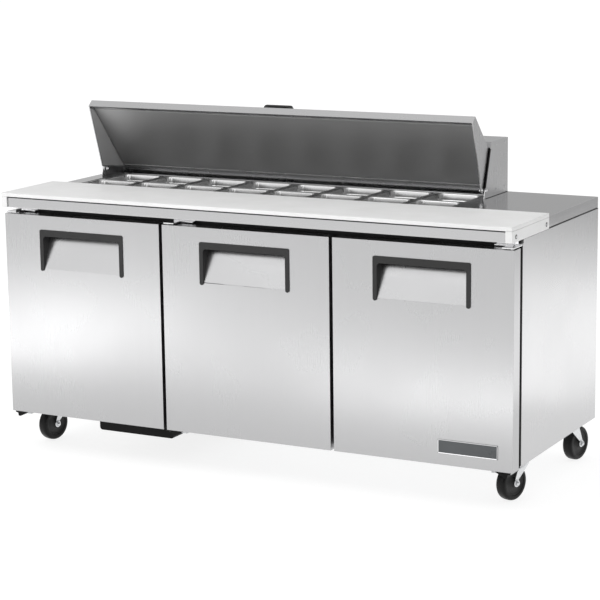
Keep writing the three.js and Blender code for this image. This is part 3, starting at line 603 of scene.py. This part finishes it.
EDGE_RADII = {  # in millimetres
    "outer_shell": 1.2, "base_frame": 0.6, "insulated_liner": 2.0, "front_frame": 1.0,
    "worktop": 1.6, "cutting_board": 2.2, "left_board_bracket": 1.6, "right_board_bracket": 1.6,
    "pan_divider_frame": 0.6, "hood_shell": 0.8, "lid_shell": 1.3, "lid_liner": 0.4, "lid_handle": 2.0,
    "unit_tray": 0.8, "rear_grille": 0.5, "evaporator_housing": 0.7, "compressor": 2.5,
}
EDGE_RADII |= {f"{door}_door_panel": 1.0 for door in DOORS}
EDGE_RADII |= {f"{door}_door_handle": 1.3 for door in DOORS}
EDGE_RADII |= {f"{door}_top_hinge": 0.7 for door in DOORS}
EDGE_RADII |= {f"{corner}_caster_fork": 0.8 for corner in CORNERS}
EDGE_RADII |= {f"{corner}_brake_pedal": 1.0 for corner in CORNERS[:2]}
PIERCED = (
    "pan_divider_frame", "rear_grille", "front_frame", "evaporator_housing", "outer_shell", "worktop",
)
POCKET_CREASE = 17  # degrees: a little less than the bend where a finger pocket leaves the door


def dress_cad_nodes():
    """Gives every CAD node its material, smooth shading and rounded edges."""
    slots = {part["node"]: part["material_slot"] for part in frame["record"]["subparts"]}
    for name, obj in NODES.items():
        mesh = obj.data
        mesh.materials.clear()
        mesh.materials.append(MATERIALS[NODE_FINISHES.get(name, slots[name])])
        if "custom_normal" in mesh.attributes:
            mesh.attributes.remove(mesh.attributes["custom_normal"])
        if name in EDGE_RADII:
            mesh.polygons.foreach_set("use_smooth", [True] * len(mesh.polygons))
            angle = POCKET_CREASE if name.endswith("door_panel") else EDGE_CREASE
            soften(obj, EDGE_RADII[name] * MM, angle, name in PIERCED)


# ---------------------------------------------------------------- worktop, board and pans
def add_worktop_seals():
    """Dark strips that close the gap above the cabinet's walls, and a dark strip under the board's edge that is
    painted shadow.
    """
    body_low, body_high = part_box("outer_shell")
    top_low, top_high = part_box("worktop")
    z0, z1 = body_high.z + 0.1 * MM, top_low.z - 0.1 * MM
    width = 8 * MM
    bm = bmesh.new()
    for _, side in SIDES:
        x = side * body_high.x
        rounded_box(bm, (x, body_low.y, z0), (x - side * width, body_high.y, z1), 0.4 * MM, 2)
    rounded_box(bm, (body_low.x + width, body_high.y - width, z0),
                (body_high.x - width, body_high.y, z1), 0.4 * MM, 2)
    piece("worktop_seal", bm, "gasket_rubber", "cabinet")
    # a dark strip just under the board's front edge: painted shadow of the board's overhang
    bm = bmesh.new()
    rounded_box(bm, (outer_x("left_board_bracket", 1) + 1 * MM, top_low.y - 2.2 * MM, top_high.z - 4 * MM),
                (outer_x("right_board_bracket", -1) - 1 * MM, top_low.y + 0.2 * MM, top_high.z), 0.5 * MM, 2)
    piece("board_edge_painted_shadow", bm, "gasket_rubber", "cabinet")


def add_front_trim():
    """Black strips on the front edges of the side panels, with a cap that fills each top corner."""
    low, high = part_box("outer_shell")
    door_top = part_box("right_door_panel")[1].z
    for name, side in SIDES:
        inner, outer, cap = (side * (high.x + past * MM) for past in (-6, 0.6, 3.5))
        bm = bmesh.new()
        rounded_box(bm, (inner, low.y - 0.6 * MM, low.z + 4 * MM), (outer, low.y + 6 * MM, high.z),
                    0.3 * MM, 2)
        rounded_box(bm, (inner, low.y - 14 * MM, door_top + 10 * MM),
                    (cap, low.y + 5 * MM, high.z + 2 * MM), 0.8 * MM, 2)
        piece(f"{name}_front_trim", bm, "gasket_rubber", "cabinet")


# The black ring round each bracket screw is painted shadow of the screw head.
SCREW_SHADOW_RING = ((4.5, 0), (7.2, 0), (6.8, 0.7), (5.2, 0.9), (4.5, 0.5))  # radius, distance in millimetres


def add_bracket_screws():
    """Two screws on the outside of each of the board's end brackets, each on a black ring of painted shadow."""
    for name, side in SIDES:
        low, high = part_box(f"{name}_board_bracket")
        x = outer_x(f"{name}_board_bracket", side)
        z = (low.z + high.z) / 2 - 1.5 * MM
        places = [(x, y, z) for y in (low.y + 32 * MM, high.y - 22 * MM)]
        bm = bmesh.new()
        for place in places:
            screw_head(bm, place, (side, 0, 0), 4.4 * MM)
        piece(f"{name}_bracket_screws", bm, "zinc_plate", "cabinet")
        # black rings round the screws: painted shadow of the screw heads
        bm = bmesh.new()
        for place in places:
            lathe(bm, metres(SCREW_SHADOW_RING), place, (side, 0, 0), 28, closed=True)
        piece(f"{name}_bracket_screw_shadow_rings", bm, "black_plastic", "cabinet")


PAN_COLUMNS = 8
PAN_LIP = 1.5 * MM  # from a pan's seat to the top of its rim
PAN_STEPS = (  # inset from the rim's edge, height above the seat and corner radius, in millimetres
    (0.0, 0.3, 6.0),
    (0.3, 1.2, 6.0),
    (1.2, 1.6, 6.0),
    (4.2, 1.5, 10.0),
    (6.2, 1.0, 16.0),
    (7.3, -0.6, 20.0),
    (7.8, -3.0, 22.0),
    (8.6, -20.0, 22.0),
    (9.0, -23.0, 22.0),
    (10.4, -25.0, 21.5),
    (10.9, -28.0, 21.0),
    (14.0, -84.0, 19.0),
    (15.4, -92.0, 18.0),
    (19.0, -97.2, 16.0),
    (24.0, -98.6, 13.0),
    (40.0, -98.4, 8.0),
)


def pan_surface(bm, centre, width, depth, seat):
    """The inside of a gastronorm pan: rolled rim, stacking shoulder, tapered wall and dished floor."""
    rings = []
    for inset, height, radius in PAN_STEPS:
        ring = rounded_ring(width - 2 * inset * MM, depth - 2 * inset * MM, radius * MM)
        z = seat + height * MM
        rings.append([bm.verts.new((centre[0] + x, centre[1] + y, z)) for x, y in ring])
    for first, second in zip(rings, rings[1:]):
        bridge(bm, first, second)
    bm.faces.new(rings[-1])


def pan_piece(name, bm, body, replaced):
    """A pan with the thickness of its sheet, facing up on its inside."""
    obj = piece(name, bm, "pan_stainless", body, [replaced], sharp=60)
    mesh = obj.data
    if sum(face.normal.z * face.area for face in mesh.polygons) < 0:
        mesh.flip_normals()
    sheet = obj.modifiers.new("sheet", "SOLIDIFY")
    sheet.thickness = 0.9 * MM
    sheet.offset = -1


def add_pans():
    """Eight loose pans along the front of the opening and the fixed row behind them."""
    for column in range(1, PAN_COLUMNS + 1):
        node = f"front_pan_{column}"
        low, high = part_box(node)
        bm = bmesh.new()
        pan_surface(bm, (low + high) / 2, high.x - low.x, high.y - low.y, high.z - PAN_LIP)
        pan_piece(f"{node}_sheet", bm, f"pan_{column}", node)
    low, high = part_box("rear_pan_bank")
    first_low, first_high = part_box("front_pan_1")
    width = first_high.x - first_low.x
    pitch = (high.x - low.x - width) / (PAN_COLUMNS - 1)
    bm = bmesh.new()
    for column in range(PAN_COLUMNS):
        centre = (low.x + width / 2 + column * pitch, (low.y + high.y) / 2)
        pan_surface(bm, centre, width, high.y - low.y, high.z - PAN_LIP)
    pan_piece("rear_pans_sheet", bm, "cabinet", "rear_pan_bank")


# ---------------------------------------------------------------- hood and lid
HOOD_FRONT_TOP = 240 * MM  # y where the hood's slanted front reaches its top
HOOD_EDGING = (912, 1036)  # z in millimetres
HOOD_SIDE_SCREWS = ((283, 1048), (355, 1048), (283, 900), (355, 900))  # y, z in millimetres
HOOD_BACK_SCREWS = (900, 1040)  # z in millimetres
HOOD_BACK_COLUMNS = 7


def add_hood_trim():
    """Dark edging on the hood's slanted front edges, its seam at the worktop, and its screws."""
    low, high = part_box("hood_shell")
    slant = (HOOD_FRONT_TOP - low.y) / (high.z - low.z)
    edge = [(low.y + slant * (z * MM - low.z), z * MM) for z in HOOD_EDGING]
    for name, side in SIDES:
        x = outer_x("hood_shell", side) + side * 0.5 * MM
        outline = [(x, y - 1 * MM, z) for y, z in edge]
        outline += [(x, y + 4 * MM, z) for y, z in reversed(edge)]
        bm = bmesh.new()
        prism(bm, outline, RIGHT * -side * 3 * MM)
        piece(f"{name}_hood_edging", bm, "gasket_rubber", "cabinet", bevel=0.4 * MM)
    bm = bmesh.new()
    z0, z1 = low.z - 0.2 * MM, low.z + 1.2 * MM
    for x in (low.x, high.x):
        rounded_box(bm, (x - 0.8 * MM, low.y + 14 * MM, z0), (x + 0.8 * MM, high.y, z1))
    rounded_box(bm, (low.x, high.y - 0.8 * MM, z0), (high.x, high.y + 0.6 * MM, z1))
    piece("hood_seam", bm, "gasket_rubber", "cabinet")
    bm = bmesh.new()
    for _, side in SIDES:
        for y, z in HOOD_SIDE_SCREWS:
            place = (outer_x("hood_shell", side), y * MM, z * MM)
            screw_head(bm, place, (side, 0, 0), SHEET_SCREW)
    for column in range(HOOD_BACK_COLUMNS):
        x = low.x + (high.x - low.x) * (column + 0.5) / HOOD_BACK_COLUMNS
        for z in HOOD_BACK_SCREWS:
            screw_head(bm, (x, high.y, z * MM), BACKWARD, SHEET_SCREW)
    piece("hood_screws", bm, "zinc_plate", "cabinet")


LID_CHEEK = ((103.5, 1127), (174.5, 916), (310, 898.5), (130, 1118))  # y, z in millimetres
LID_CHEEK_SHEET = 4.1 * MM  # from the lid's end to the lining on its inside
LID_SCREWS = ((160, 1090), (300, 930))  # y, z in millimetres
PIN_CAP = ((0, 0), (5.5, 0), (5, 1.2), (3, 2.2), (0, 2.5))  # radius, distance in millimetres


def add_lid_details():
    """Linings of the lid's cheeks, a folded strip on its liner, edge screws and pin caps."""
    for name, side in SIDES:
        x = outer_x("lid_shell", side) - side * LID_CHEEK_SHEET
        bm = bmesh.new()
        prism(bm, [(x, y, z) for y, z in metres(LID_CHEEK)], RIGHT * -side * 0.7 * MM)
        piece(f"{name}_lid_cheek_lining", bm, "lid_lining", "lid", bevel=0.3 * MM)
    low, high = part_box("lid_liner")
    y, z = high.y - 6 * MM, low.z + 10 * MM
    bm = bmesh.new()
    tube(bm, [(low.x, y, z), (high.x, y, z)], 4 * MM, 16)
    piece("liner_edge_strip", bm, "stainless", "lid")
    bm = bmesh.new()
    for _, side in SIDES:
        for y, z in metres(LID_SCREWS):
            screw_head(bm, (outer_x("lid_shell", side), y, z), (side, 0, 0), SHEET_SCREW)
    piece("lid_screws", bm, "zinc_plate", "lid")
    bm = bmesh.new()
    for name, side in SIDES:
        pin_low, pin_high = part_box(f"{name}_lid_pin")
        centre = (pin_low + pin_high) / 2
        centre.x = outer_x(f"{name}_lid_pin", side)
        lathe(bm, metres(PIN_CAP), centre, (side, 0, 0), 24)
    piece("lid_pin_caps", bm, "chrome", "cabinet")


# ---------------------------------------------------------------- doors
GASKET_WIDTH = 24 * MM
GASKET_RIBS = 3
GASKET_STEPS = 4 * GASKET_RIBS
RIB_DEPTH = 1.6 * MM
MAGNET_INSET = 1.5 * MM
PANEL_STEPS = (  # inset from the inner panel's edge and rise from the door, in millimetres
    (0, 0), (0.5, 2.5), (2, 4.5), (5, 5.5), (40, 5.5), (44, 5), (50, 3), (56, 2.2),
)


def gasket_profile(y0, y1):
    """A magnetic gasket's section: soft bellows with a flat magnet strip at the front."""
    bellows = []
    for k in range(GASKET_STEPS + 1):
        t = k / GASKET_STEPS
        pulled = RIB_DEPTH * (1 - math.cos(2 * math.pi * GASKET_RIBS * t)) / 2
        bellows.append((0.4 * MM + pulled, y0 + (y1 - y0) * (0.06 + 0.88 * t)))
    magnet = [(MAGNET_INSET, y1), (GASKET_WIDTH - MAGNET_INSET, y1)]
    inner_bellows = [(GASKET_WIDTH - inset, y) for inset, y in reversed(bellows)]
    return [(0, y0)] + bellows + magnet + inner_bellows + [(GASKET_WIDTH, y0)]


def add_inner_panel(door):
    """The door's inside, a lining sheet with a shallow dish."""
    low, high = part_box(f"{door}_door_gasket")
    middle = (low + high) / 2
    edge = GASKET_WIDTH + 6 * MM
    width, height = high.x - low.x - 2 * edge, high.z - low.z - 2 * edge
    bm = bmesh.new()
    rings = []
    for inset, rise in PANEL_STEPS:
        radius = max(14 - inset / 4, 4) * MM
        ring = rounded_ring(width - 2 * inset * MM, height - 2 * inset * MM, radius)
        y = low.y + (rise - 0.2) * MM
        rings.append([bm.verts.new((middle.x + x, y, middle.z + z)) for x, z in ring])
    for first, second in zip(rings, rings[1:]):
        bridge(bm, first, second)
    bm.faces.new(rings[0])
    bm.faces.new(rings[-1])
    piece(f"{door}_door_inner_panel", bm, "cabinet_lining", f"{door}_door")


def add_door_details(door):
    """Ribbed gasket, inner panel and hinge screws of one door."""
    low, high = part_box(f"{door}_door_gasket")
    bm = bmesh.new()
    swept_frame(bm, (low.x, low.z), (high.x, high.z), 3 * MM, gasket_profile(low.y, high.y))
    piece(f"{door}_gasket_bellows", bm, "gasket_rubber", f"{door}_door", [f"{door}_door_gasket"])
    add_inner_panel(door)
    low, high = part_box(f"{door}_top_hinge")
    bm = bmesh.new()
    for share in (0.3, 0.7):
        x = low.x + (high.x - low.x) * share
        screw_head(bm, (x, high.y - 3.8 * MM, high.z - 5.5 * MM), -BACKWARD, 3.6 * MM)
    piece(f"{door}_hinge_screws", bm, "zinc_plate", "cabinet")


HINGE_SIDES = (("left", -1), ("centre", -1), ("right", 1))
LUG_SECTION = (  # inwards from the lug's end, up from its top, in millimetres
    (0, 0), (52, 0), (46, -4), (18, -18), (11, -17), (9, -7), (0, -5),
)


def add_lower_hinge(door, side):
    """The black lug under a door's hinge side, held by the cabinet's base."""
    low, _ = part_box(f"{door}_door_panel")
    body_low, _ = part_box("outer_shell")
    end = outer_x(f"{door}_door_panel", side) - side * 9 * MM
    top = low.z - 0.5 * MM
    outline = [(end - side * x, low.y + 3 * MM, top + z) for x, z in metres(LUG_SECTION)]
    bm = bmesh.new()
    prism(bm, outline, BACKWARD * (body_low.y - low.y + 27 * MM))
    piece(f"{door}_lower_hinge", bm, "black_steel", "cabinet", bevel=0.8 * MM)


def add_badge():
    """The thin chrome frame of the blank badge."""
    low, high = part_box("badge_plate")
    bm = bmesh.new()
    front = low.y - 0.9 * MM
    profile = [(0, high.y), (0, low.y), (0.6 * MM, front), (1.8 * MM, front)]
    profile += [(2.6 * MM, low.y - 0.2 * MM), (2.6 * MM, high.y)]
    swept_frame(bm, (low.x, low.z), (high.x, high.z), 4 * MM, profile)
    piece("badge_frame", bm, "chrome", "right_door")


# ---------------------------------------------------------------- cold chamber
SHELVES = ((278, 75), (518, 212))  # height and y of the rear edge, in millimetres
SHELF_WIRES = 21
WIRE = 1.8 * MM
RAIL = 2.6 * MM
SHELF_LIP = 12 * MM
POST_WIDTH = 6 * MM
POST_CLIPS = 18
CLIP_PITCH = 30 * MM


def add_shelf_posts(section):
    """Four posts with clips at every height that a shelf can take."""
    node = f"{section}_shelf_rack"
    low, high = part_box(node)
    bm = bmesh.new()
    for x in (low.x, high.x - POST_WIDTH):
        face = x + POST_WIDTH if x == low.x else x
        for y in (low.y + 37 * MM, 47 * MM):
            rounded_box(bm, (x, y - 7 * MM, low.z), (x + POST_WIDTH, y + 7 * MM, high.z), 1 * MM)
            for clip in range(1, POST_CLIPS + 1):
                z = low.z + clip * CLIP_PITCH
                rounded_box(bm, (face - 0.6 * MM, y - 4 * MM, z),
                            (face + 0.6 * MM, y + 4 * MM, z + 3 * MM), 0.3 * MM, 1)
    piece(f"{section}_shelf_posts", bm, "cabinet_lining", "cabinet", [node])


def wire_shelf(bm, x0, x1, front, back, z):
    """Wires bent down at the front, on rails below them."""
    for k in range(SHELF_WIRES):
        x = x0 + (x1 - x0) * (k + 0.5) / SHELF_WIRES
        corners = [(x, front + WIRE, z - SHELF_LIP), (x, front + WIRE, z + WIRE), (x, back - WIRE, z + WIRE)]
        tube(bm, bent(corners, 6 * MM), WIRE, 8)
    low = z - 2 * WIRE
    for y in (front + 4 * MM, (front + back) / 2, back - 6 * MM):
        tube(bm, [(x0 - 4 * MM, y, low), (x1 + 4 * MM, y, low)], RAIL, 10)
    tube(bm, [(x0, front + WIRE, z - SHELF_LIP), (x1, front + WIRE, z - SHELF_LIP)], RAIL, 10)
    for x in (x0 - 2 * MM, x1 + 2 * MM):
        tube(bm, [(x, front + WIRE, low), (x, back - WIRE, low)], RAIL, 10)


def add_shelves(section):
    """Coated wire shelves and their posts in one section of the cabinet."""
    add_shelf_posts(section)
    low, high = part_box(f"{section}_shelf_rack")
    bm = bmesh.new()
    for z, back in metres(SHELVES):
        wire_shelf(bm, low.x + 8 * MM, high.x - 8 * MM, low.y, back, z)
    piece(f"{section}_wire_shelves", bm, "coated_wire", "cabinet")


GUARD_RADIUS = 84 * MM
GUARD_RINGS = 6
GUARD_WIRE = 1.1 * MM


def add_fan_guard():
    """Concentric wire rings on three spokes in front of the evaporator's fan."""
    fan_low, fan_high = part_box("evaporator_fan")
    centre = (fan_low + fan_high) / 2
    centre.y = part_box("evaporator_housing")[0].y - 4 * MM
    turns = [math.pi * k / 3 for k in range(6)]
    bm = bmesh.new()
    for k in range(1, GUARD_RINGS + 1):
        ring = GUARD_RADIUS * k / GUARD_RINGS
        section = [(ring + GUARD_WIRE * math.cos(t), GUARD_WIRE * math.sin(t)) for t in turns]
        lathe(bm, section, centre, BACKWARD, 36, closed=True)
    hub = centre + BACKWARD * 1.6 * MM
    for turn in turns[:3]:
        reach = Vector((math.cos(turn), 0, math.sin(turn))) * GUARD_RADIUS
        tube(bm, [hub - reach, hub + reach], 1.4 * MM, 8)
    piece("evaporator_fan_guard", bm, "coated_wire", "cabinet")


SUCTION_TOP = 385 * MM
RETURN_BENDS = 4
BEND_RADIUS = 12.5 * MM


def add_copper_lines():
    """The compressor's discharge and suction lines, and return bends on the condenser's end."""
    shell_low, shell_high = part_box("compressor")
    coil_low, coil_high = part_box("condenser_coil")
    middle = (shell_low + shell_high) / 2
    bm = bmesh.new()
    x, y = middle.x + 20 * MM, middle.y + 30 * MM
    top = shell_high.z + 34 * MM
    inlet = Vector((coil_low.x + 2 * MM, coil_low.y + 20 * MM, coil_high.z - 20 * MM))
    discharge = [(x, y, shell_high.z - 6 * MM), (x, y, top), (x + 40 * MM, y, top)]
    discharge += [(x + 40 * MM, inlet.y, inlet.z), inlet]
    tube(bm, bent(discharge, 12 * MM), 3.2 * MM)
    x, y = middle.x - 30 * MM, middle.y + 100 * MM
    suction = [(x, y - 34 * MM, middle.z), (x, y, middle.z)]
    suction += [(x, y, SUCTION_TOP), (x + 70 * MM, y, SUCTION_TOP)]
    tube(bm, bent(suction, 14 * MM), 4.8 * MM)
    x, y = coil_low.x - 1 * MM, (coil_low.y + coil_high.y) / 2
    for k in range(RETURN_BENDS):
        z = coil_low.z + (28 + 50 * k) * MM
        path = [(x + 3 * MM, y, z)]
        for turn in (math.pi * n / 10 for n in range(11)):
            path.append((x - BEND_RADIUS * math.sin(turn), y, z + BEND_RADIUS * (1 - math.cos(turn))))
        path.append((x + 3 * MM, y, z + 2 * BEND_RADIUS))
        tube(bm, path, 4 * MM)
    piece("copper_lines", bm, "copper", "cabinet")


def add_terminal_box():
    """The box over the compressor's terminals."""
    low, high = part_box("compressor")
    x, y, z = (low + high) / 2
    bm = bmesh.new()
    rounded_box(bm, (x - 28 * MM, y - 92 * MM, z - 30 * MM),
                (x + 28 * MM, y - 66 * MM, z + 30 * MM), 4 * MM)
    piece("compressor_terminal_box", bm, "black_plastic", "cabinet")


def add_grille_screws():
    """Six screws that hold the rear grille."""
    low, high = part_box("rear_grille")
    bm = bmesh.new()
    for x in (low.x + 10 * MM, high.x - 10 * MM):
        for share in (0.06, 0.5, 0.94):
            screw_head(bm, (x, high.y, low.z + (high.z - low.z) * share), BACKWARD, SHEET_SCREW)
    piece("grille_screws", bm, "zinc_plate", "cabinet")


# ---------------------------------------------------------------- casters
# Sections of radius and distance along the axis, in millimetres. The first two are mirrored.
TYRE_HALF = (
    (40, 0), (40.0, 14.0), (40.8, 16.4), (42.5, 17.0), (49.5, 17.0), (52.5, 16.2), (55.0, 13.8),
    (56.4, 10.4), (57.0, 6.0), (57.0, 0),
)
HUB_HALF = (
    (5.8, 0), (5.8, 18.2), (11.0, 18.2), (12.6, 17.4), (14.6, 13.2), (17.0, 11.6), (25.0, 11.0),
    (33.0, 11.6), (36.6, 13.2), (38.2, 15.2), (39.8, 15.2), (39.8, 0),
)
SWIVEL_RACE = (
    (24, -6.4), (31, -6.4), (33, -5.2), (33.4, -3.6), (32, -2.4), (30, -1.8), (30, -0.8), (24, -0.8),
)
AXLE_WASHER = ((0, 0), (12, 0), (12, 1.0), (11, 1.5), (0, 1.5))
AXLE_NUT = ((0, 6), (6.2, 6), (5.6, 8.2), (3.4, 9.4), (0, 9.8))
AXLE_FACE = 22.5 * MM  # from the wheel's middle to the washers
BOLT_REACH = 36 * MM


def mirrored(half):
    """A closed profile from the half at positive distances."""
    back = [(radius, -along) for radius, along in half if along > 0]
    return list(half) + back[::-1]


def turned(section, centre, axis, sides):
    """A mesh made by turning a closed section in millimetres round an axis through centre."""
    bm = bmesh.new()
    lathe(bm, metres(section), centre, axis, sides, closed=True)
    return bm


def add_caster(corner):
    """Tyre, hub, axle washers, swivel race and plate bolts of one caster."""
    wheel, swivel = f"{corner}_wheel", f"{corner}_swivel"
    centre = Vector(JOINTS[f"{wheel}_spin"]["pos_m"])
    axle = Vector(JOINTS[f"{wheel}_spin"]["axis"])
    stem = Vector(JOINTS[f"{swivel}_turn"]["pos_m"])
    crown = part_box(f"{corner}_caster_fork")[1].z
    tyre = turned(mirrored(TYRE_HALF), centre, axle, 64)
    piece(f"{corner}_tyre", tyre, "wheel_rubber", wheel, [f"{corner}_caster_wheel"])
    piece(f"{corner}_hub", turned(mirrored(HUB_HALF), centre, axle, 64), "black_plastic", wheel)
    bm = bmesh.new()
    for side in (-1, 1):
        face = centre + axle * side * AXLE_FACE
        lathe(bm, metres(AXLE_WASHER), face, axle * side, 32)
        lathe(bm, metres(AXLE_NUT), face, axle * side, 24)
    piece(f"{corner}_axle_washers", bm, "zinc_plate", swivel)
    race = turned(SWIVEL_RACE, (stem.x, stem.y, crown), UP, 48)
    piece(f"{corner}_swivel_race", race, "zinc_plate", swivel)
    bm = bmesh.new()
    for dx in (-BOLT_REACH, BOLT_REACH):
        for dy in (-BOLT_REACH, BOLT_REACH):
            hex_head(bm, (stem.x + dx, stem.y + dy, crown + 0.7 * MM), -UP, 6 * MM, 4 * MM)
    piece(f"{corner}_plate_bolts", bm, "zinc_plate", "cabinet")


# ---------------------------------------------------------------- the scene
add_camera()
add_studio()
dress_cad_nodes()
add_worktop_seals()
add_front_trim()
add_bracket_screws()
add_pans()
add_hood_trim()
add_lid_details()
for door_name in DOORS:
    add_door_details(door_name)
    add_shelves(door_name)
for door_name, hinge_side in HINGE_SIDES:
    add_lower_hinge(door_name, hinge_side)
add_badge()
add_fan_guard()
add_copper_lines()
add_terminal_box()
add_grille_screws()
for caster_corner in CORNERS:
    add_caster(caster_corner)
